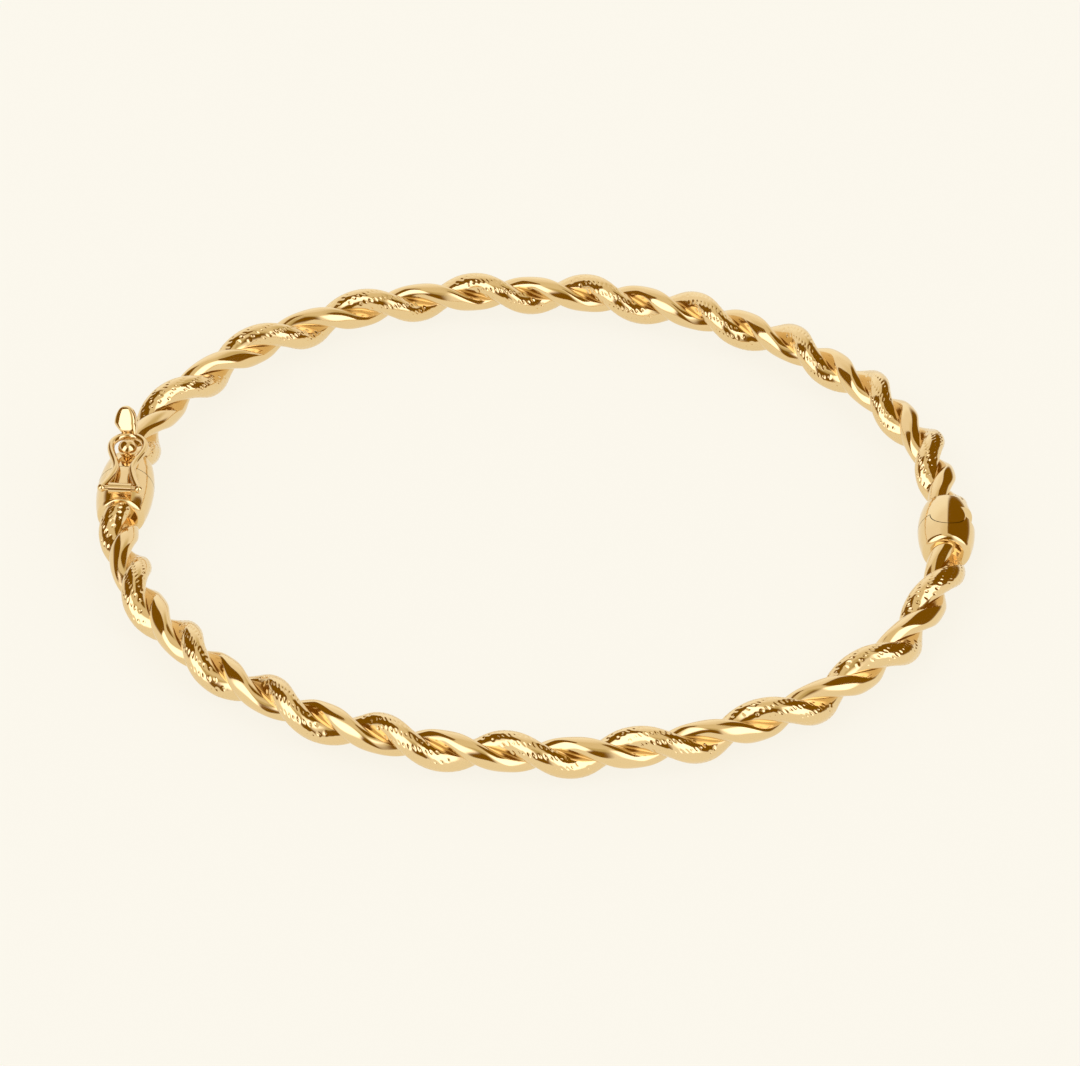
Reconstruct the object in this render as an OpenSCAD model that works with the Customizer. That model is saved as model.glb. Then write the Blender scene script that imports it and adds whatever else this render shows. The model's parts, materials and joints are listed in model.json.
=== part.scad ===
// Twisted bangle that opens on a hinge: two half hoops of twisted tube, a hinge barrel,
// a box clasp and a figure-eight safety catch that loops over a ball.
// It lies on its side. The origin is on the axis of the wrist opening, at the height of the
// lowest point. +X points to the hinge, -Y to the half hoop that swings open, and +Z is up.

/* [Wrist opening] */
// Length of the opening, from the clasp side to the hinge side
opening_length = 60; // [54:0.5:68]
// Width of the opening, between the two half hoops
opening_width = 52.5; // [46:0.5:58]
// How far the hinge and the clasp sit inside the oval of the hoops
end_inset = 0.5; // [0:0.1:1]
// How short the straightened ends are, a higher number being shorter
end_sharpness = 30; // [16:2:60]

/* [Twisted rope] */
// Width of the textured tube, across its flat section
textured_width = 2; // [1.4:0.05:2.4]
// Thickness of the textured tube, away from the middle of the rope
textured_thickness = 1.68; // [1.2:0.02:1.9]
// Width of the plain tube, across its flat section
plain_width = 1.66; // [1.2:0.02:2.2]
// Thickness of the plain tube, away from the middle of the rope
plain_thickness = 1.26; // [0.9:0.02:1.7]
// Gap between the two tubes
strand_gap = 0.06; // [0.04:0.01:0.15]
// Gap between a tube and the barrel that it is set against
seat_gap = 0.04; // [0.02:0.01:0.1]
// Length of one turn of the rear rope
rear_pitch = 9.03; // [8:0.05:13]
// Length of one turn of the front rope
front_pitch = 9.23; // [8:0.05:13]
// Where the textured tube of the rear rope starts at the hinge, from the top to the outside
rear_start = -29; // [-180:1:180]
// Where the textured tube of the front rope starts at the hinge, from the top to the outside
front_start = -82; // [-180:1:180]
// Turn that the rear rope is ahead at its middle
rear_lead = 115; // [0:5:160]
// Turn that the front rope is ahead at its middle
front_lead = 76; // [0:5:160]

/* [Barrels] */
// Largest diameter of the hinge barrel and the clasp barrel
barrel_diameter = 4.3; // [4.1:0.05:5.4]
// Their diameter at the ends, before these are rounded
barrel_end_diameter = 3.4; // [3:0.05:3.8]
// Rounding of the barrels' ends
end_rounding = 0.5; // [0.2:0.05:1]
// Gap between two parts that turn or slide past each other
running_gap = 0.08; // [0.05:0.01:0.12]
// Gap of the seam between the two halves of a barrel
seam_gap = 0.05; // [0.04:0.01:0.1]

/* [Hinge] */
// Length of the hinge barrel
hinge_length = 5.3; // [4.6:0.1:8]
// How far the hinge sits towards the front
hinge_shift = 0.5; // [0:0.1:1]
// Furthest angle that the front half hoop opens to
opening_angle = 40; // [20:1:60]
// Diameter of the round knuckle about the pin
knuckle_diameter = 2.6; // [2.2:0.05:2.9]
// Thickness of the leaf between the knuckle's two ears
leaf_thickness = 0.9; // [0.6:0.05:1.3]
// Diameter of the pin
pin_diameter = 0.9; // [0.6:0.05:1.1]
// Gap round the pin
pin_gap = 0.03; // [0.02:0.01:0.05]
// Metal left over the end of the pin
pin_cover = 0.5; // [0.3:0.05:0.8]

/* [Clasp] */
// Length of the clasp barrel
clasp_length = 6.4; // [5.8:0.1:8]
// Length of the clasp's cap, on the rear half hoop
cap_length = 2.6; // [2.2:0.1:2.9]
// Width of the tongue that slides into the box
tongue_width = 1.9; // [1.4:0.05:2.2]
// Height of the tongue over both its leaves
tongue_height = 1.3; // [1:0.05:1.6]
// Thickness of each leaf of the tongue
tongue_leaf = 0.4; // [0.3:0.02:0.45]
// How far the tongue reaches into the box
tongue_reach = 2.5; // [1.8:0.1:2.9]

/* [Safety catch] */
// Diameter of the catch's wire
wire_diameter = 0.54; // [0.4:0.02:0.6]
// Outside width of the loop that goes over the ball
loop_width = 3.1; // [2.9:0.05:3.6]
// Outside width of the waist between the two loops
waist_width = 1.8; // [1.5:0.05:2]
// How far the loop's middle lies past the ball
loop_lead = 0.3; // [0.1:0.05:0.5]
// Diameter of the ball
ball_diameter = 1.46; // [1.2:0.02:1.5]
// Diameter of the stud under the ball
stud_diameter = 0.8; // [0.6:0.05:0.9]
// Distance from the ball's middle to the end of the clasp barrel
ball_inset = 0.95; // [0.8:0.05:1.2]
// Distance from the catch's pivot to the other end of the clasp barrel
pivot_inset = 0.6; // [0.5:0.05:0.9]
// Length of the tube that the catch turns in
pivot_length = 1.7; // [1.5:0.05:2.1]
// Outside diameter of that tube
pivot_diameter = 0.84; // [0.76:0.02:1]
// Diameter of the wire ends that turn in the tube
stub_diameter = 0.4; // [0.3:0.02:0.44]
// Length of each wire end inside the tube
stub_length = 0.5; // [0.3:0.05:0.65]
// Length of the thumb tab
tab_length = 2.15; // [1.8:0.05:3.4]
// Width of the thumb tab
tab_width = 1.7; // [1.4:0.05:2.2]
// Thickness of the thumb tab
tab_thickness = 0.85; // [0.6:0.05:1]
// How far the thumb tab leans to the outside
tab_lean = 0.4; // [0:0.05:0.6]
// Turn of the thumb tab's face to the outside
tab_roll = 20; // [0:1:25]
// Angle that the thumb tab is raised from the loop
tab_rise = 40; // [0:1:45]

/* [Hidden] */
$fn = 96;

// Facets of the twisted tubes and of the catch's wire
tube_sides = 12;
ring_step = 0.68;
wire_sides = 10;
catch_steps = 20;

gold = "goldenrod";
pale_gold = "palegoldenrod";

rope_diameter = textured_thickness + plain_thickness + strand_gap;
rope_reach = max(textured_thickness, plain_thickness) + strand_gap / 2;
oval_x = (opening_length + rope_diameter) / 2;
oval_y = (opening_width + rope_diameter) / 2;

barrel_r = barrel_diameter / 2;
barrel_sag = (barrel_diameter - barrel_end_diameter) / 2;
axis_z = max(barrel_r, rope_reach);
beyond = 2 * barrel_diameter;

hinge_x = oval_x - end_inset;
hinge_y = -hinge_shift;
knuckle_r = knuckle_diameter / 2;
pin_r = pin_diameter / 2;
relief_angle = opening_angle + 2;

clasp_x = -hinge_x;
swing_r = hinge_x - clasp_x;
parting_y = clasp_length / 2 - cap_length;

wire_r = wire_diameter / 2;
loop_r = loop_width / 2 - wire_r;
waist_x = waist_width / 2 - wire_r;
catch_z = barrel_r + running_gap + wire_r;
pivot_y = pivot_inset - clasp_length / 2;
ball_y = clasp_length / 2 - ball_inset;
ball_reach = ball_y - pivot_y;
loop_y = ball_reach + loop_lead;
waist_y = ball_reach / 2;
leg_splay = 0.45;
leg_curve = 1.5;
knob_proud = 0.05;
knob_x = pivot_length / 2 + running_gap + wire_r + leg_splay * pivot_diameter / 2;

// Half hoops. The oval's angle t is 0 at the hinge, positive along the rear, negative along the front.
function oval_point(t) = [
    cos(t) * (oval_x - end_inset * pow(abs(cos(t)), end_sharpness)),
    oval_y * sin(t),
    axis_z
];
function along(t) = let (step = oval_point(t + 0.05) - oval_point(t - 0.05)) step / norm(step);
function outward(t) = [along(t).y, -along(t).x, 0];

// Length of the oval from the hinge to t, as the first terms of the series for an ellipse
flatness = (pow(oval_x, 2) - pow(oval_y, 2)) / (pow(oval_x, 2) + pow(oval_y, 2));
mean_r = sqrt((pow(oval_x, 2) + pow(oval_y, 2)) / 2);
function run_to(t) = mean_r * (
    (1 - pow(flatness, 2) / 16) * t * PI / 180
    - flatness / 4 * sin(2 * t)
    - pow(flatness, 2) / 64 * sin(4 * t)
);
half_run = run_to(180);

// Turn of the rope at t: even, with a lead that grows to the middle of the half hoop
function turn(t, start, pitch, lead) =
    start + 360 * run_to(t) / pitch + lead * (1 - pow(2 * abs(run_to(t)) / half_run - 1, 2));

// One section of a tube, an ellipse whose short axis points to the middle of the rope
function section(t, angle, thickness, width) = [
    for (k = [0 : tube_sides - 1])
        let (
            a = 360 * k / tube_sides,
            r = (strand_gap + thickness) / 2 + thickness / 2 * cos(a),
            w = width / 2 * sin(a)
        )
        oval_point(t) + outward(t) * (r * sin(angle) + w * cos(angle))
            + [0, 0, r * cos(angle) - w * sin(angle)]
];

// The same section slid along the rope until it is flat against a barrel's end
function cut_off(points, direction, y) = [
    for (p = points) p + direction * ((y - p.y) / direction.y)
];

// Closed skin over a row of sections, each with the same number of points
module skin(sections) {
    n = len(sections[0]);
    last = len(sections) - 1;
    walls = [
        for (i = [0 : last - 1], k = [0 : n - 1])
            let (a = i * n + k, b = i * n + (k + 1) % n)
            each [[a, b + n, b], [a, a + n, b + n]]
    ];
    first_end = [for (k = [0 : n - 1]) k];
    last_end = [for (k = [n - 1 : -1 : 0]) last * n + k];
    polyhedron([for (ring = sections) each ring], concat([first_end], walls, [last_end]));
}

module twisted_tube(from_y, from_t, to_y, to_t, side, start, pitch, lead, thickness, width) {
    rings = ceil((run_to(to_t) - run_to(from_t)) / ring_step);
    sections = [
        for (i = [0 : rings])
            let (
                t = from_t + (to_t - from_t) * i / rings,
                ring = section(t, side + turn(t, start, pitch, lead), thickness, width)
            )
            i == 0 ? cut_off(ring, along(t), from_y) :
            i == rings ? cut_off(ring, along(t), to_y) : ring
    ];
    skin(sections);
}

module rear_tube(side, thickness, width) {
    from_y = hinge_y + hinge_length / 2 + seat_gap;
    to_y = clasp_length / 2 + seat_gap;
    twisted_tube(
        from_y, asin(from_y / oval_y), to_y, 180 - asin(to_y / oval_y),
        side, rear_start, rear_pitch, rear_lead, thickness, width
    );
}

module front_tube(side, thickness, width) {
    from_y = -clasp_length / 2 - seat_gap;
    to_y = hinge_y - hinge_length / 2 - seat_gap;
    twisted_tube(
        from_y, -180 - asin(from_y / oval_y), to_y, asin(to_y / oval_y),
        side, front_start, front_pitch, front_lead, thickness, width
    );
}

module rear_textured_strand() {
    color(pale_gold) rear_tube(0, textured_thickness, textured_width);
}

module rear_plain_strand() {
    color(gold) rear_tube(180, plain_thickness, plain_width);
}

module front_textured_strand() {
    color(pale_gold) front_tube(0, textured_thickness, textured_width);
}

module front_plain_strand() {
    color(gold) front_tube(180, plain_thickness, plain_width);
}

// Barrels, each along Y about its own middle, with rounded ends
module barrel(length) {
    bulge_r = (pow(length / 2, 2) + pow(barrel_sag, 2)) / (2 * barrel_sag);
    bulge_x = barrel_r - bulge_r;
    round_y = length / 2 - end_rounding;
    round_x = bulge_x + sqrt(pow(bulge_r - end_rounding, 2) - pow(round_y, 2));
    rim_y = round_y * bulge_r / (bulge_r - end_rounding);
    rotate([90, 0, 0]) rotate_extrude() {
        intersection() {
            translate([bulge_x, 0]) circle(bulge_r, $fn = 256);
            translate([0, -rim_y]) square([barrel_r, 2 * rim_y]);
        }
        translate([0, -length / 2]) square([round_x, length]);
        for (y = [-round_y, round_y])
            translate([round_x, y]) circle(end_rounding);
    }
}

// Everything on one side of a plane across the barrel
module ahead_of(y) {
    translate([-beyond, y, -beyond]) cube([2 * beyond, beyond, 2 * beyond]);
}

module behind(y) {
    translate([-beyond, y - beyond, -beyond]) cube([2 * beyond, beyond, 2 * beyond]);
}

module upright(r, height) {
    cylinder(r = r, h = height, center = true);
}

module at_hinge() {
    translate([hinge_x, hinge_y, axis_z]) children();
}

module at_clasp() {
    translate([clasp_x, 0, axis_z]) children();
}

// Room for the socket's outer shoulder when the bangle is open
module opening_relief() {
    linear_extrude(2 * beyond, center = true)
        polygon([[0, 0], [beyond, 0], [beyond, beyond * tan(relief_angle)]]);
}

module hinge_knuckle() {
    color(gold) at_hinge() difference() {
        barrel(hinge_length);
        difference() {
            union() {
                behind(seam_gap / 2);
                opening_relief();
            }
            upright(knuckle_r, 2 * beyond);
        }
        upright(knuckle_r + running_gap, leaf_thickness + 2 * running_gap);
        translate([0, 0, -beyond])
            cylinder(r = pin_r + pin_gap, h = beyond + barrel_r - pin_cover);
    }
}

module hinge_pin() {
    height = 2 * (barrel_r - pin_cover) - pin_gap;
    color(gold) at_hinge() translate([0, 0, pin_cover - barrel_r]) cylinder(r = pin_r, h = height);
}

module hinge_socket() {
    color(gold) at_hinge() difference() {
        barrel(hinge_length);
        difference() {
            ahead_of(-seam_gap / 2);
            upright(knuckle_r, leaf_thickness);
        }
        difference() {
            upright(knuckle_r + seam_gap, 2 * beyond);
            cube([2 * beyond, 2 * beyond, leaf_thickness], center = true);
        }
        upright(pin_r + pin_gap, 2 * beyond);
    }
}

// The tongue and its room follow the circle that the clasp swings on, about the hinge pin
module swing_ring(width, height) {
    translate([swing_r, hinge_y, 0]) difference() {
        upright(swing_r + width / 2, height);
        upright(swing_r - width / 2, height + 1);
    }
}

module tongue_block(grow) {
    intersection() {
        swing_ring(tongue_width + 2 * grow, tongue_height + 2 * grow);
        translate([-beyond, parting_y - tongue_reach - grow, -beyond])
            cube([2 * beyond, tongue_reach + cap_length / 2 + grow, 2 * beyond]);
    }
}

// Slot that leaves two leaves, joined at the tip, with the upper one free at the cap
module tongue_slot() {
    translate([-beyond, parting_y - tongue_reach + tongue_leaf, tongue_leaf - tongue_height / 2])
        cube([2 * beyond, tongue_reach - tongue_leaf, tongue_height - 2 * tongue_leaf]);
    translate([-beyond, parting_y - tongue_leaf, tongue_leaf - tongue_height / 2])
        cube([2 * beyond, tongue_leaf, tongue_height]);
}

module clasp_cap() {
    color(gold) at_clasp() {
        difference() {
            union() {
                difference() {
                    barrel(clasp_length);
                    behind(parting_y);
                }
                tongue_block(0);
            }
            tongue_slot();
        }
        translate([0, ball_y, 0]) {
            cylinder(d = stud_diameter, h = catch_z);
            translate([0, 0, catch_z]) sphere(d = ball_diameter);
        }
    }
}

module across(d, length) {
    rotate([0, 90, 0]) cylinder(d = d, h = length, center = true);
}

module clasp_box() {
    color(gold) at_clasp() difference() {
        union() {
            difference() {
                barrel(clasp_length);
                ahead_of(parting_y - seam_gap);
            }
            translate([0, pivot_y, catch_z]) across(pivot_diameter, pivot_length);
            translate([-pivot_length / 3, pivot_y - pivot_diameter / 4, 0])
                cube([2 * pivot_length / 3, pivot_diameter / 2, catch_z]);
        }
        tongue_block(running_gap);
        translate([0, pivot_y, catch_z]) across(stub_diameter + 2 * pin_gap, 2 * pivot_length);
    }
}

// Half the width of the figure eight at each distance from the pivot: its legs draw in to the
// waist and its sides swell out to the loop
function catch_half_width(y) =
    y < waist_y
        ? waist_x + (knob_x - waist_x) * pow(1 - y / waist_y, leg_curve)
        : waist_x + (loop_r - waist_x) * (1 - cos(180 * (y - waist_y) / (loop_y - waist_y))) / 2;
catch_side = [
    for (i = [0 : catch_steps - 1])
        let (y = loop_y * i / catch_steps)
        [catch_half_width(y), y, 0]
];
catch_end = [
    for (i = [0 : catch_steps / 2])
        let (a = 180 * i / catch_steps)
        [loop_r * cos(a), loop_y + loop_r * sin(a), 0]
];
catch_half = concat(catch_side, catch_end);
half_steps = len(catch_half) - 1;
catch_line = concat(
    catch_half,
    [for (i = [half_steps - 1 : -1 : 0]) [-catch_half[i].x, catch_half[i].y, 0]]
);

module wire_along(line) {
    last = len(line) - 1;
    skin([
        for (i = [0 : last])
            let (
                step = line[min(i + 1, last)] - line[max(i - 1, 0)],
                side = [-step.y, step.x, 0] / norm(step)
            )
            [
                for (k = [0 : wire_sides - 1])
                    let (a = 360 * k / wire_sides)
                    line[i] + wire_r * (side * cos(a) + [0, 0, sin(a)])
            ]
    ]);
}

module catch_pin() {
    translate([knob_x, 0, 0]) {
        sphere(wire_r + knob_proud);
        rotate([0, -90, 0]) cylinder(d = stub_diameter, h = knob_x - pivot_length / 2 + stub_length);
    }
}

// Thumb tab: a flat pad that rises from the end of the loop
module catch_tab() {
    end_r = tab_width / 2;
    root_r = 0.45 * tab_width;
    middle = [-tab_lean, tab_length + wire_r - end_r];
    translate([0, loop_y + loop_r, 0]) rotate([tab_rise, 0, 0]) rotate([0, -tab_roll, 0])
        linear_extrude(tab_thickness, center = true) {
            polygon([[-root_r, 0], [root_r, 0], middle + [end_r, 0], middle - [end_r, 0]]);
            translate(middle) circle(end_r);
        }
}

module safety_catch() {
    color(gold) at_clasp() translate([0, pivot_y, catch_z]) {
        wire_along(catch_line);
        catch_pin();
        mirror([1, 0, 0]) catch_pin();
        catch_tab();
    }
}

rear_textured_strand();
rear_plain_strand();
front_textured_strand();
front_plain_strand();
hinge_knuckle();
hinge_pin();
hinge_socket();
clasp_cap();
clasp_box();
safety_catch();
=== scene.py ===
import json
from math import asin, cos, hypot, pi, radians, sin, tan

import bpy
from mathutils import Matrix, Vector


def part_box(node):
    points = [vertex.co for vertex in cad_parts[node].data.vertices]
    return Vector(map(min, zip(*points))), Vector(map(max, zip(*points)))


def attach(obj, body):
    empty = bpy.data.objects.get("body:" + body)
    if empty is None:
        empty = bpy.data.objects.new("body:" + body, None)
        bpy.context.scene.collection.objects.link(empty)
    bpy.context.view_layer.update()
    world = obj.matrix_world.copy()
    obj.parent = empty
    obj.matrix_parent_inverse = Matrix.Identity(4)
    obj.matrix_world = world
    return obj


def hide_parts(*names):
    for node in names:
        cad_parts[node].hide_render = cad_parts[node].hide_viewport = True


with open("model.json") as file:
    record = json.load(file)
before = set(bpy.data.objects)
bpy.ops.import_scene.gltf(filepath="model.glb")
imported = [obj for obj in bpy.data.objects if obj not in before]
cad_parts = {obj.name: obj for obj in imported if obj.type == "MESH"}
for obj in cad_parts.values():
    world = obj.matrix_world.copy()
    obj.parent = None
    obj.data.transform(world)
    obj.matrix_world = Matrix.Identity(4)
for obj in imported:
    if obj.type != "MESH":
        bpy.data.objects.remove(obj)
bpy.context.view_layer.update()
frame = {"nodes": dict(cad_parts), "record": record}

# A hinged bangle of two twisted tubes in each half, with a box clasp and a safety catch
mm = 0.001


# Small helpers for node trees: a Field is a socket that can be added, multiplied and so on
class Field:
    def __init__(self, tree, socket):
        self.tree = tree
        self.socket = socket

    def math(self, operation, *others):
        node = self.tree.nodes.new("ShaderNodeMath")
        node.operation = operation
        for slot, value in zip(node.inputs, (self, *others)):
            plug(self.tree, slot, value)
        return Field(self.tree, node.outputs[0])

    def __add__(self, other):
        return self.math("ADD", other)

    def __sub__(self, other):
        return self.math("SUBTRACT", other)

    def __mul__(self, other):
        return self.math("MULTIPLY", other)

    def __truediv__(self, other):
        return self.math("DIVIDE", other)

    def __pow__(self, other):
        return self.math("POWER", other)

    def __neg__(self):
        return self * -1.0


def plug(tree, slot, value):
    if isinstance(value, Field):
        tree.links.new(value.socket, slot)
    elif isinstance(value, bpy.types.NodeSocket):
        tree.links.new(value, slot)
    else:
        slot.default_value = value


def addNode(tree, kind, inputs=(), **settings):
    node = tree.nodes.new(kind)
    for name, value in settings.items():
        setattr(node, name, value)
    for name, value in dict(inputs).items():
        plug(tree, node.inputs[name], value)
    return node


def splitXyz(tree, vector):
    apart = addNode(tree, "ShaderNodeSeparateXYZ", {"Vector": vector})
    return [Field(tree, socket) for socket in apart.outputs]


def joinXyz(tree, x, y, z):
    return addNode(tree, "ShaderNodeCombineXYZ", {"X": x, "Y": y, "Z": z}).outputs[0]


def sine(x):
    return x.math("SINE")


def cosine(x):
    return x.math("COSINE")


def mixed(choice, low, high):
    # low where choice is 0 and high where it is 1
    return low + (high - low) * choice


def smooth(x):
    # 0 to 1 with no corner at either end
    x = x.math("MAXIMUM", 0.0).math("MINIMUM", 1.0)
    return x * x * (-x * 2.0 + 3.0)


def quarterCircle(x):
    # 1 at 0, and down to 0 at 1 as a circle falls
    return (-(x * x) + 1.0).math("MAXIMUM", 0.0).math("SQRT")


def roundedSquare(x, y, corner):
    # how far out a point is, as a share of the way to the square's edge; a high corner makes it sharp
    return (x ** corner + y ** corner) ** (1.0 / corner)


def turned(x, y, angle):
    c, s = cosine(angle), sine(angle)
    return x * c - y * s, x * s + y * c


# Growing a piece: a geometry tree is run once, and its result is kept as a plain mesh
sharpFrom = radians(50)  # edges that bend more than this stay crisp


def newTree(name, sizes):
    # one named input for each size, and one for the material
    tree = bpy.data.node_groups.new(name, "GeometryNodeTree")
    tree.interface.new_socket("Geometry", in_out="OUTPUT", socket_type="NodeSocketGeometry")
    entry = tree.nodes.new("NodeGroupInput")
    for label, value in sizes.items():
        kind = "NodeSocketInt" if isinstance(value, int) else "NodeSocketFloat"
        tree.interface.new_socket(label, in_out="INPUT", socket_type=kind).default_value = value
    tree.interface.new_socket("material", in_out="INPUT", socket_type="NodeSocketMaterial")
    fields = {label: Field(tree, entry.outputs[label]) for label in sizes}
    return tree, fields, entry.outputs["material"]


def closeTree(tree, geometry, material):
    rounded = addNode(tree, "GeometryNodeSetShadeSmooth", {"Geometry": geometry})
    real = addNode(tree, "GeometryNodeRealizeInstances", {"Geometry": rounded.outputs[0]})
    painted = addNode(tree, "GeometryNodeSetMaterial", {
        "Geometry": real.outputs[0], "Material": material,
    })
    tree.links.new(painted.outputs[0], tree.nodes.new("NodeGroupOutput").inputs[0])


def growPiece(name, tree, sizes, material):
    seed = bpy.data.objects.new(name + "_seed", bpy.data.meshes.new(name + "_seed"))
    bpy.context.scene.collection.objects.link(seed)
    modifier = seed.modifiers.new("shape", "NODES")
    modifier.node_group = tree
    values = {**sizes, "material": material}
    for item in tree.interface.items_tree:
        if item.in_out == "INPUT":
            modifier[item.identifier] = values[item.name]
    graph = bpy.context.evaluated_depsgraph_get()
    mesh = bpy.data.meshes.new_from_object(seed.evaluated_get(graph))
    mesh.name = name
    seed.modifiers.remove(modifier)
    bpy.data.objects.remove(seed)
    piece = bpy.data.objects.new(name, mesh)
    bpy.context.scene.collection.objects.link(piece)
    mesh.set_sharp_from_angle(angle=sharpFrom)
    print(f"  {name}: {sum(len(p.vertices) - 2 for p in mesh.polygons)} triangles")
    return piece


# Materials: polished gold with a slow change of tone, faint wear and a slightly uneven skin
gold = dict(
    light=(0.85, 0.645, 0.345, 1),
    deep=(0.81, 0.60, 0.305, 1),
    toneScale=260.0,
    roughLow=0.07,
    roughHigh=0.12,
    roughScale=900.0,
    wave=0.012 * mm,
    waveScale=420.0,
)


def newMaterial(name):
    material = bpy.data.materials.new(name)
    material.use_nodes = True
    material.node_tree.nodes.clear()
    return material, material.node_tree


def mixColours(tree, choice, low, high):
    return addNode(tree, "ShaderNodeMix", {0: choice, 6: low, 7: high}, data_type="RGBA").outputs[2]


def goldMaterial(name):
    material, tree = newMaterial(name)
    place = addNode(tree, "ShaderNodeTexCoord").outputs["Object"]

    def noise(scale, detail):
        made = addNode(tree, "ShaderNodeTexNoise", {"Vector": place, "Scale": scale, "Detail": detail})
        return made.outputs["Fac"]

    colour = mixColours(tree, noise(gold["toneScale"], 2.0), gold["light"], gold["deep"])
    rough = addNode(tree, "ShaderNodeMapRange", {
        "Value": noise(gold["roughScale"], 3.0),
        "To Min": gold["roughLow"],
        "To Max": gold["roughHigh"],
    })
    bump = addNode(tree, "ShaderNodeBump", {
        "Height": noise(gold["waveScale"], 1.0),
        "Strength": 1.0,
        "Distance": gold["wave"],
    })
    shader = addNode(tree, "ShaderNodeBsdfPrincipled", {
        "Base Color": colour,
        "Roughness": rough.outputs[0],
        "Normal": bump.outputs[0],
    })
    shader.inputs["Metallic"].default_value = 1.0
    output = addNode(tree, "ShaderNodeOutputMaterial", {"Surface": shader.outputs[0]})
    output.is_active_output = True
    return material


polishedGold = goldMaterial("polishedGold")
dottedGold = goldMaterial("dottedGold")
barrelGold = goldMaterial("barrelGold")
catchGold = goldMaterial("catchGold")
print("materials: 4 golds")


# Camera: the photograph's view, from a point in front of and above the bangle
photoView = dict(
    elevation=0.6807,  # this and the next two in radians
    turn=-0.0447,
    roll=-0.0156,
    distance=376.91 * mm,
    across=-0.4314 * mm,
    above=1.6666 * mm,
    pixelsWide=1080,
    focalPixels=4997.5,
    sensorWidth=36,
    clipStart=0.01,
    clipEnd=100,
)


def boxMiddle(node):
    low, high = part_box(node)
    return (low + high) / 2


axisHeight = boxMiddle("hinge_socket").z  # the tubes and both barrels lie round this height


def makeCamera(view):
    e, a = view["elevation"], view["turn"]
    right = Vector((cos(a), -sin(a), 0))
    ahead = Vector((sin(a) * cos(e), cos(a) * cos(e), -sin(e)))
    up = Vector((sin(a) * sin(e), cos(a) * sin(e), cos(e)))
    place = -view["across"] * right - view["above"] * up - view["distance"] * ahead
    place.z += axisHeight
    c, s = cos(view["roll"]), sin(view["roll"])
    rolledRight, rolledUp = c * right - s * up, s * right + c * up
    facing = Matrix((rolledRight, rolledUp, -ahead)).transposed().to_4x4()
    camera = bpy.data.objects.new("camera", bpy.data.cameras.new("camera"))
    bpy.context.scene.collection.objects.link(camera)
    camera.matrix_world = Matrix.Translation(place) @ facing
    camera.data.sensor_width = view["sensorWidth"]
    camera.data.lens = view["focalPixels"] / view["pixelsWide"] * view["sensorWidth"]
    camera.data.clip_start = view["clipStart"]
    camera.data.clip_end = view["clipEnd"]
    bpy.context.scene.camera = camera


makeCamera(photoView)
print("camera set")


# Twisted tubes: a textured and a plain one wind round an oval in each half
rope = dict(
    oval=dict(
        ovalX=31.5 * mm,  # half sizes of the centre line
        ovalY=27.75 * mm,
        endInset=0.5 * mm,  # at the barrels it runs this much further in
        endSharpness=30.0,
        strandGap=0.06 * mm,
        press=0.20 * mm,  # how far the inner halves reach past the axis
        endBlend=0.012,  # share of the length in which an end leans over to its barrel
    ),
    textured=dict(thickness=1.68 * mm, width=2.0 * mm, side=0.0),
    plain=dict(thickness=1.26 * mm, width=1.66 * mm, side=pi),
    rear=dict(pitch=9.03 * mm, start=radians(-29), lead=radians(115)),
    front=dict(pitch=9.23 * mm, start=radians(-82), lead=radians(76)),
    sink=0.5 * mm,  # how far the ends reach into the barrels' rounded ends
    rings=700,  # mesh of a plain tube
    sides=48,
    dimples=dict(
        rows=16,
        openRows=11,  # the other rows would lie where the tubes touch
        spacing=0.71 * mm,
        radius=0.14 * mm,
        depth=0.07 * mm,
        cells=5,  # mesh faces from one row to the next
        plainEnd=0.006,  # share of the length without dimples at each end
    ),
)


def runTo(t, f):
    # length of the oval from the hinge to the angle t, as the first terms of the series for an ellipse
    big, small = f["ovalX"] ** 2.0, f["ovalY"] ** 2.0
    flatness = (big - small) / (big + small)
    meanRadius = ((big + small) / 2.0).math("SQRT")
    even = (-(flatness ** 2.0) / 16.0 + 1.0) * t
    second = flatness / 4.0 * sine(t * 2.0)
    fourth = flatness ** 2.0 / 64.0 * sine(t * 4.0)
    return meanRadius * (even - second - fourth)


def tubePoint(tree, f, s, a):
    # the point at share s of the tube's length and angle a round its section
    t = mixed(s, f["fromAngle"], f["toAngle"])
    c, n = cosine(t), sine(t)
    end = c.math("ABSOLUTE") ** f["endSharpness"]
    x = c * (f["ovalX"] - f["endInset"] * end)
    y = f["ovalY"] * n
    dx = -n * (f["ovalX"] - f["endInset"] * (f["endSharpness"] + 1.0) * end)
    dy = f["ovalY"] * c
    length = (dx * dx + dy * dy).math("SQRT")
    dx, dy = dx / length, dy / length
    # the twist is even along the oval, plus a lead that is largest in the middle of the half
    run, halfRun = runTo(t, f), runTo(t * 0.0 + pi, f)
    lead = f["lead"] * (-((run.math("ABSOLUTE") * 2.0 / halfRun - 1.0) ** 2.0) + 1.0)
    q = f["start"] + f["side"] + run / f["pitch"] * (2 * pi) + lead
    # the inner half reaches a little past the rope's axis, so that the two tubes close up
    inner = (-cosine(a)).math("MAXIMUM", 0.0) * f["press"]
    r = (f["strandGap"] + f["thickness"]) / 2.0 + f["thickness"] / 2.0 * cosine(a) - inner
    w = f["width"] / 2.0 * sine(a)
    aside = r * sine(q) + w * cosine(q)
    rise = r * cosine(q) - w * sine(q)
    # the ends lean over until they are flat against the barrels
    toEnd = s.math("MINIMUM", -s + 1.0)
    blend = (-(toEnd / f["endBlend"]) + 1.0).math("MAXIMUM", 0.0)
    slide = blend * aside * dx / dy
    return joinXyz(tree, x + dy * aside + dx * slide, y - dx * aside + dy * slide, f["axisHeight"] + rise)


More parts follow.
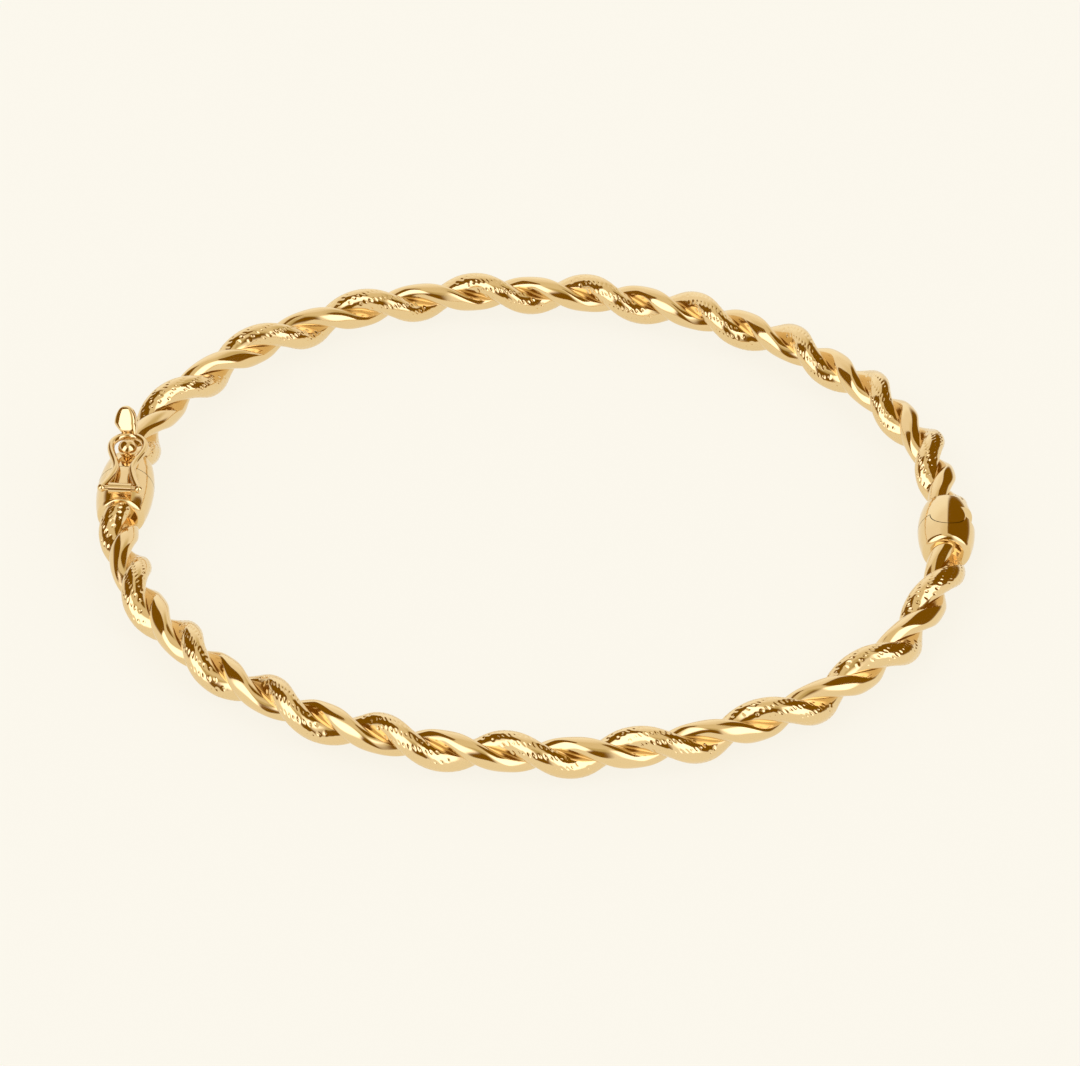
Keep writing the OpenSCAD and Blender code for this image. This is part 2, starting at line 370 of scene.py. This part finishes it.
def spreadAngle(f, angle):
    # a dimpled tube has most of its sides where the dimples are, and few where it meets the plain tube
    side = angle.math("ABSOLUTE") / (2 * pi) * f["sides"]
    fine = f["openRows"] * f["cells"] / 2.0
    row = side.math("MINIMUM", fine) / f["cells"] + (side - fine).math("MAXIMUM", 0.0) / 2.0
    return row / f["dimpleRows"] * (2 * pi) * angle.math("SIGN")


def dimpleDepth(f, share, angle):
    # rows of small round dimples, each row half a step on from the last, none where the tubes touch
    row = angle / (2 * pi) * f["dimpleRows"]
    nearRow = row.math("ROUND")
    column = share * f["dimpleColumns"] - nearRow.math("MODULO", 2.0).math("ABSOLUTE") * 0.5
    across = (row - nearRow) * f["dimpleRise"]
    along = (column - column.math("ROUND")) * f["dimpleRun"]
    far = (across * across + along * along) / f["dimpleRadius"] ** 2.0
    bowl = (-far.math("SQRT") + 1.0).math("MAXIMUM", 0.0)
    shown = nearRow.math("ABSOLUTE").math("LESS_THAN", f["openRows"] / 2.0)
    inside = share.math("MINIMUM", -share + 1.0).math("GREATER_THAN", f["plainEnd"])
    return bowl * shown * inside * f["dimpleDepth"]


def ropeTree(sizes):
    tree, f, material = newTree("twisted tube", sizes)
    body = addNode(tree, "GeometryNodeMeshCylinder", {
        "Vertices": f["sides"], "Side Segments": f["rings"], "Radius": 1.0, "Depth": 1.0,
    }, fill_type="NGON")
    # the cylinder's own places are kept, as they say how far along and how far round each point is
    kept = tree.nodes.new("GeometryNodeCaptureAttribute")
    kept.capture_items.new("VECTOR", "place")
    plug(tree, kept.inputs["Geometry"], body.outputs["Mesh"])
    plug(tree, kept.inputs["place"], addNode(tree, "GeometryNodeInputPosition").outputs[0])
    x, y, z = splitXyz(tree, kept.outputs["place"])
    share, angle = z + 0.5, spreadAngle(f, y.math("ARCTAN2", x))
    shaped = addNode(tree, "GeometryNodeSetPosition", {
        "Geometry": kept.outputs["Geometry"],
        "Position": tubePoint(tree, f, share, angle),
    })
    pressed = addNode(tree, "ShaderNodeVectorMath", {
        0: addNode(tree, "GeometryNodeInputNormal").outputs[0],
        "Scale": -dimpleDepth(f, share, angle),
    }, operation="SCALE")
    dimpled = addNode(tree, "GeometryNodeSetPosition", {
        "Geometry": shaped.outputs[0], "Offset": pressed.outputs[0],
    })
    closeTree(tree, dimpled.outputs[0], material)
    return tree


def dimpleSizes(tube, length):
    # the mesh's rings and sides are lined up with the dimples
    dimples = rope["dimples"]
    columns = round(length / dimples["spacing"])
    around = pi * (tube["thickness"] + tube["width"]) / 2
    hiddenRows = dimples["rows"] - dimples["openRows"]
    return dict(
        rings=columns * 2 * dimples["cells"],
        sides=dimples["openRows"] * dimples["cells"] + hiddenRows * 2,
        cells=float(dimples["cells"]),
        openRows=float(dimples["openRows"]),
        dimpleRows=float(dimples["rows"]),
        dimpleColumns=float(columns),
        dimpleDepth=dimples["depth"],
        dimpleRise=around / dimples["rows"],
        dimpleRun=length / columns,
    )


def smoothSizes():
    # without dimples one row spans the whole section
    sizes = dict(rings=rope["rings"], sides=rope["sides"], cells=float(rope["sides"]))
    sizes.update(openRows=1.0, dimpleRows=1.0, dimpleColumns=1.0)
    sizes.update(dimpleDepth=0.0, dimpleRise=1.0, dimpleRun=1.0)
    return sizes


def tubeSizes(tube, half, fromAngle, toAngle, dimpled):
    oval = rope["oval"]
    length = (toAngle - fromAngle) * hypot(oval["ovalX"], oval["ovalY"]) / 2 ** 0.5
    sizes = {**oval, **tube, **half, **(dimpleSizes(tube, length) if dimpled else smoothSizes())}
    sizes.update(axisHeight=axisHeight, fromAngle=fromAngle, toAngle=toAngle)
    sizes.update(dimpleRadius=rope["dimples"]["radius"], plainEnd=rope["dimples"]["plainEnd"])
    return sizes


def halfSpans():
    # the angles on the oval where each half's tubes begin and end
    def ovalAngle(y):
        return asin(y / rope["oval"]["ovalY"])

    hingeRear = ovalAngle(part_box("hinge_knuckle")[1].y - rope["sink"])
    claspRear = ovalAngle(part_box("clasp_cap")[1].y - rope["sink"])
    hingeFront = ovalAngle(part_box("hinge_socket")[0].y + rope["sink"])
    claspFront = ovalAngle(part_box("clasp_box")[0].y + rope["sink"])
    return dict(rear=(hingeRear, pi - claspRear), front=(-pi - claspFront, hingeFront))


def makeTube(tree, node, sizes, dimpled):
    piece = growPiece(node + "_dressed", tree, sizes, dottedGold if dimpled else polishedGold)
    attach(piece, "rear_half" if node.startswith("rear") else "front_half")
    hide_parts(node)


def makeRopes():
    tree = None
    for half, span in halfSpans().items():
        for finish in ("textured", "plain"):
            dimpled = finish == "textured"
            sizes = tubeSizes(rope[finish], rope[half], *span, dimpled)
            if tree is None:
                tree = ropeTree(sizes)
            makeTube(tree, f"{half}_{finish}_strand", sizes, dimpled)


makeRopes()
print("ropes: 4 tubes")


# Safety catch: a wire bent to a figure eight on two pins, with a thumb tab, measured from its pivot
catch = dict(
    wireRadius=0.27 * mm,
    loopRadius=1.28 * mm,
    loopRise=5.15 * mm,  # from the pins to the middle of the loop
    loopShare=0.27,  # of the wire's points
    waistHalf=0.63 * mm,
    waistRise=2.425 * mm,
    legCurve=1.5,
    wireSteps=241,
    wireSides=20,
    knobOut=1.389 * mm,
    knobRadius=0.32 * mm,
    knobSides=32,
    pinRadius=0.2 * mm,
    pinLength=1.039 * mm,
    tabSink=0.12 * mm,  # into the loop's wire
    tabRoot=0.55 * mm,  # half width and half thickness where it leaves the wire
    tabRootThick=0.23 * mm,
    tabHalf=0.86 * mm,
    tabThick=0.425 * mm,
    tabLength=2.3 * mm,
    tabBow=1.35 * mm,  # length of its round end
    tabEdge=0.35 * mm,
    tabSquare=3.4,  # 2 makes its section an ellipse, more makes it squarer
    tabLean=0.4 * mm,
    tabRoll=radians(12),
    tabRise=radians(45),
    tabRings=60,
    tabSides=64,
    tabMerge=0.0005 * mm,  # points closer than this become one
)


def bentWire(tree, f):
    # up one leg from a pin, round the loop and down the other leg
    line = addNode(tree, "GeometryNodeCurvePrimitiveLine")
    steps = addNode(tree, "GeometryNodeResampleCurve", {
        "Curve": line.outputs[0], "Count": f["wireSteps"],
    })
    share = Field(tree, addNode(tree, "GeometryNodeSplineParameter").outputs["Factor"]) * 2.0 - 1.0
    half = share.math("ABSOLUTE")
    bend = (half / f["loopShare"]).math("MINIMUM", 1.0) * (pi / 2)
    down = ((half - f["loopShare"]) / (-f["loopShare"] + 1.0)).math("MAXIMUM", 0.0)
    y = f["loopRise"] * (-down + 1.0)
    swell = ((y - f["waistRise"]) / (f["loopRise"] - f["waistRise"])).math("MAXIMUM", 0.0)
    toLoop = (f["loopRadius"] - f["waistHalf"]) * (-cosine(swell * pi) + 1.0) / 2.0
    toKnob = (-(y / f["waistRise"]) + 1.0).math("MAXIMUM", 0.0) ** f["legCurve"]
    x = f["waistHalf"] + toLoop + (f["knobOut"] - f["waistHalf"]) * toKnob
    place = joinXyz(tree, x * sine(bend) * share.math("SIGN"), y + f["loopRadius"] * cosine(bend), 0.0)
    path = addNode(tree, "GeometryNodeSetPosition", {"Geometry": steps.outputs[0], "Position": place})
    ring = addNode(tree, "GeometryNodeCurvePrimitiveCircle", {
        "Resolution": f["wireSides"], "Radius": f["wireRadius"],
    }, mode="RADIUS")
    return addNode(tree, "GeometryNodeCurveToMesh", {
        "Curve": path.outputs[0], "Profile Curve": ring.outputs[0], "Fill Caps": True,
    }).outputs[0]


def knobAndPin(tree, f, side):
    knob = addNode(tree, "GeometryNodeMeshUVSphere", {
        "Segments": f["knobSides"], "Rings": f["knobSides"] / 2.0, "Radius": f["knobRadius"],
    })
    pin = addNode(tree, "GeometryNodeMeshCylinder", {
        "Vertices": f["knobSides"], "Radius": f["pinRadius"], "Depth": f["pinLength"],
    }, fill_type="NGON")
    placed = []
    for mesh, x in ((knob, f["knobOut"]), (pin, f["knobOut"] - f["pinLength"] / 2.0)):
        placed.append(addNode(tree, "GeometryNodeTransform", {
            "Geometry": mesh.outputs["Mesh"],
            "Translation": joinXyz(tree, x * side, 0.0, 0.0),
            "Rotation": (0, pi / 2, 0),
        }).outputs[0])
    return placed


def thumbTab(tree, f):
    # a rounded pad that grows out of the end of the loop, widest where its bow begins
    body = addNode(tree, "GeometryNodeMeshCylinder", {
        "Vertices": f["tabSides"], "Side Segments": f["tabRings"], "Radius": 1.0, "Depth": 1.0,
    }, fill_type="NGON")
    x, y, z = splitXyz(tree, addNode(tree, "GeometryNodeInputPosition").outputs[0])
    share, angle = sine((z + 0.5) * (pi / 2)), y.math("ARCTAN2", x)
    along = mixed(share, -f["tabSink"], f["tabLength"])
    widest = f["tabLength"] - f["tabBow"]
    bow = ((along - widest) / f["tabBow"]).math("MAXIMUM", 0.0)
    width = mixed(smooth(along / widest), f["tabRoot"], f["tabHalf"]) * quarterCircle(bow)
    short = (-((f["tabLength"] - along) / f["tabEdge"]) + 1.0).math("MAXIMUM", 0.0)
    thick = mixed(smooth(along / widest * 2.0), f["tabRootThick"], f["tabThick"]) * quarterCircle(short)
    power = f["tabSquare"] ** -1.0 * 2.0
    across = cosine(angle).math("ABSOLUTE") ** power * cosine(angle).math("SIGN") * width
    across = across - f["tabLean"] * (along / widest).math("MINIMUM", 1.0)
    upward = sine(angle).math("ABSOLUTE") ** power * sine(angle).math("SIGN") * thick
    across, upward = turned(across, upward, f["tabRoll"])
    along, upward = turned(along, upward, f["tabRise"])
    shaped = addNode(tree, "GeometryNodeSetPosition", {
        "Geometry": body.outputs["Mesh"],
        "Position": joinXyz(tree, across, f["loopRise"] + f["loopRadius"] + along, upward),
    })
    return addNode(tree, "GeometryNodeMergeByDistance", {
        "Geometry": shaped.outputs[0], "Distance": f["tabMerge"],
    }).outputs[0]


def jointPivot(name):
    joints = frame["record"]["behaviour"]["joints"]
    return next(joint["pos_m"] for joint in joints if joint["name"] == name)


def makeCatch():
    x, y, z = jointPivot("catch_pivot")
    sizes = dict(catch, pivotX=float(x), pivotY=float(y), pivotZ=float(z))
    tree, f, material = newTree("safety catch", sizes)
    parts = [bentWire(tree, f), *knobAndPin(tree, f, 1.0), *knobAndPin(tree, f, -1.0), thumbTab(tree, f)]
    joined = tree.nodes.new("GeometryNodeJoinGeometry")
    for part in parts:
        plug(tree, joined.inputs[0], part)
    placed = addNode(tree, "GeometryNodeTransform", {
        "Geometry": joined.outputs[0],
        "Translation": joinXyz(tree, f["pivotX"], f["pivotY"], f["pivotZ"]),
    })
    closeTree(tree, placed.outputs[0], material)
    piece = growPiece("safety_catch_dressed", tree, sizes, catchGold)
    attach(piece, "safety_catch")
    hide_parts("safety_catch")


makeCatch()
print("safety catch: 1 piece")


# Barrels: the CAD's own meshes, in gold
for name in ("hinge_knuckle", "hinge_pin", "hinge_socket", "clasp_cap", "clasp_box"):
    node = frame["nodes"][name]
    node.data.materials.clear()
    node.data.materials.append(barrelGold)
print("barrels: 5 nodes")


# Studio: a pale floor under a cream sky with two softboxes and some brown cards, which the gold mirrors
brown = (0.22, 0.105, 0.0)
softWhite = (2.0, 2.0, 2.15)
studio = dict(
    floorColour=(0.85, 0.85, 0.85, 1),
    floorGlow=(0.972, 0.938, 0.842, 1),
    floorMix=0.88,
    floorHalf=20.0,
    skyLow=(1.0, 0.95, 0.88, 1),
    skyTop=(0.85, 0.76, 0.58, 1),
    topFrom=0.75,
    topTo=0.95,
    # where each light stands in degrees (0 is the rear, 90 the hinge's side), its half sizes and its blur
    skyPatches=dict(
        tanRight=dict(
            azimuth=68, elevation=50, width=34, height=18, lean=0, blur=0.5, colour=(0.71, 0.61, 0.38),
        ),
        paleRear=dict(
            azimuth=342, elevation=14, width=27, height=20, lean=0, blur=0.5, colour=(1.1, 1.1, 1.08),
        ),
        tanMiddle=dict(
            azimuth=177, elevation=54, width=17, height=16, lean=0, blur=0.4, colour=(0.64, 0.54, 0.31),
        ),
        brownMiddle=dict(
            azimuth=181, elevation=24, width=19, height=27, lean=0, blur=0.3, colour=brown,
        ),
        softboxRight=dict(
            azimuth=115, elevation=31, width=25, height=27, lean=22, blur=0.3, colour=softWhite,
        ),
        softboxLeft=dict(
            azimuth=227, elevation=35, width=27, height=27, lean=8, blur=0.3, colour=softWhite,
        ),
    ),
    patchCorner=4.0,
    patchDepth=0.05,  # keeps the sky behind a patch from counting as in front of it
    # upright cards close to the bangle's two ends, from one corner to the other, in mm
    cards=dict(
        cardLeft=dict(corner=(-47, 36), other=(-81, -31), low=4, high=230),
        cardRight=dict(corner=(32, 42), other=(90, -27), low=-4, high=170),
    ),
    cardCorner=8.0,
    cardBlur=0.05,
)


def blurredEdge(tree, far, outside, inside):
    # 0 from outside on, 1 within inside
    return addNode(tree, "ShaderNodeMapRange", {
        "Value": far, "From Min": outside, "From Max": inside,
    }, interpolation_type="SMOOTHSTEP").outputs[0]


def patchMask(tree, towards, azimuth, elevation, width, height, lean, blur):
    # 1 inside a rounded rectangle of the sky, 0 outside it
    a, e, r = radians(azimuth), radians(elevation), radians(lean)
    away = Vector((sin(a) * cos(e), cos(a) * cos(e), sin(e)))
    side = Vector((cos(a), -sin(a), 0))
    rise = side.cross(away)
    side, rise = cos(r) * side + sin(r) * rise, cos(r) * rise - sin(r) * side

    def along(axis):
        dot = addNode(tree, "ShaderNodeVectorMath", {0: towards, 1: axis}, operation="DOT_PRODUCT")
        return Field(tree, dot.outputs["Value"])

    depth = along(away).math("MAXIMUM", studio["patchDepth"])
    u = along(side) / depth / tan(radians(width))
    v = along(rise) / depth / tan(radians(height))
    return blurredEdge(tree, roundedSquare(u, v, studio["patchCorner"]), 1.0 + blur, 1.0 - blur)


def makeSky(scene):
    world = bpy.data.worlds.new("studio")
    world.use_nodes = True
    tree = world.node_tree
    tree.nodes.clear()
    towards = addNode(tree, "ShaderNodeTexCoord").outputs["Generated"]
    height = splitXyz(tree, towards)[2]
    top = blurredEdge(tree, height, studio["topFrom"], studio["topTo"])
    colour = mixColours(tree, top, studio["skyLow"], studio["skyTop"])
    for patch in studio["skyPatches"].values():
        place = {label: value for label, value in patch.items() if label != "colour"}
        colour = mixColours(tree, patchMask(tree, towards, **place), colour, (*patch["colour"], 1))
    sky = addNode(tree, "ShaderNodeBackground", {"Color": colour})
    addNode(tree, "ShaderNodeOutputWorld", {"Surface": sky.outputs[0]})
    scene.world = world


def makeSquare(scene, name, half, material):
    mesh = bpy.data.meshes.new(name)
    corners = [(-half, -half, 0), (half, -half, 0), (half, half, 0), (-half, half, 0)]
    mesh.from_pydata(corners, [], [(0, 1, 2, 3)])
    mesh.materials.append(material)
    square = bpy.data.objects.new(name, mesh)
    scene.collection.objects.link(square)
    return square


def blendShaders(tree, choice, low, high):
    mix = addNode(tree, "ShaderNodeMixShader", {0: choice, 1: low.outputs[0], 2: high.outputs[0]})
    addNode(tree, "ShaderNodeOutputMaterial", {"Surface": mix.outputs[0]})


def makeFloor(scene):
    material, tree = newMaterial("paleFloor")
    matt = addNode(tree, "ShaderNodeBsdfDiffuse", {"Color": studio["floorColour"]})
    glow = addNode(tree, "ShaderNodeEmission", {"Color": studio["floorGlow"], "Strength": 1.0})
    blendShaders(tree, studio["floorMix"], matt, glow)
    floor = makeSquare(scene, "floor", studio["floorHalf"], material)


def makeCards(scene):
    material, tree = newMaterial("brownCard")
    u, v = splitXyz(tree, addNode(tree, "ShaderNodeTexCoord").outputs["Object"])[:2]
    far = roundedSquare(u, v, studio["cardCorner"])
    clear = addNode(tree, "ShaderNodeBsdfTransparent")
    glow = addNode(tree, "ShaderNodeEmission", {"Color": (*brown, 1)})
    blendShaders(tree, blurredEdge(tree, far, 1.0, 1.0 - 2 * studio["cardBlur"]), clear, glow)
    for name, card in studio["cards"].items():
        low = Vector((*card["corner"], card["low"])) * mm
        high = Vector((*card["other"], card["high"])) * mm
        side, up = (high - low) / 2, Vector((0, 0, (high.z - low.z) / 2))
        side.z = 0
        facing = Matrix((side, up, side.cross(up).normalized())).transposed().to_4x4()
        panel = makeSquare(scene, name, 1, material)
        panel.matrix_world = Matrix.Translation((low + high) / 2) @ facing
        # only the gold sees it
        panel.visible_camera = panel.visible_diffuse = panel.visible_shadow = False


def makeStudio(scene):
    scene.view_settings.view_transform = "Standard"
    scene.view_settings.look = "None"
    makeSky(scene)
    makeFloor(scene)
    makeCards(scene)


makeStudio(bpy.context.scene)
print("studio: floor, sky and 2 cards")
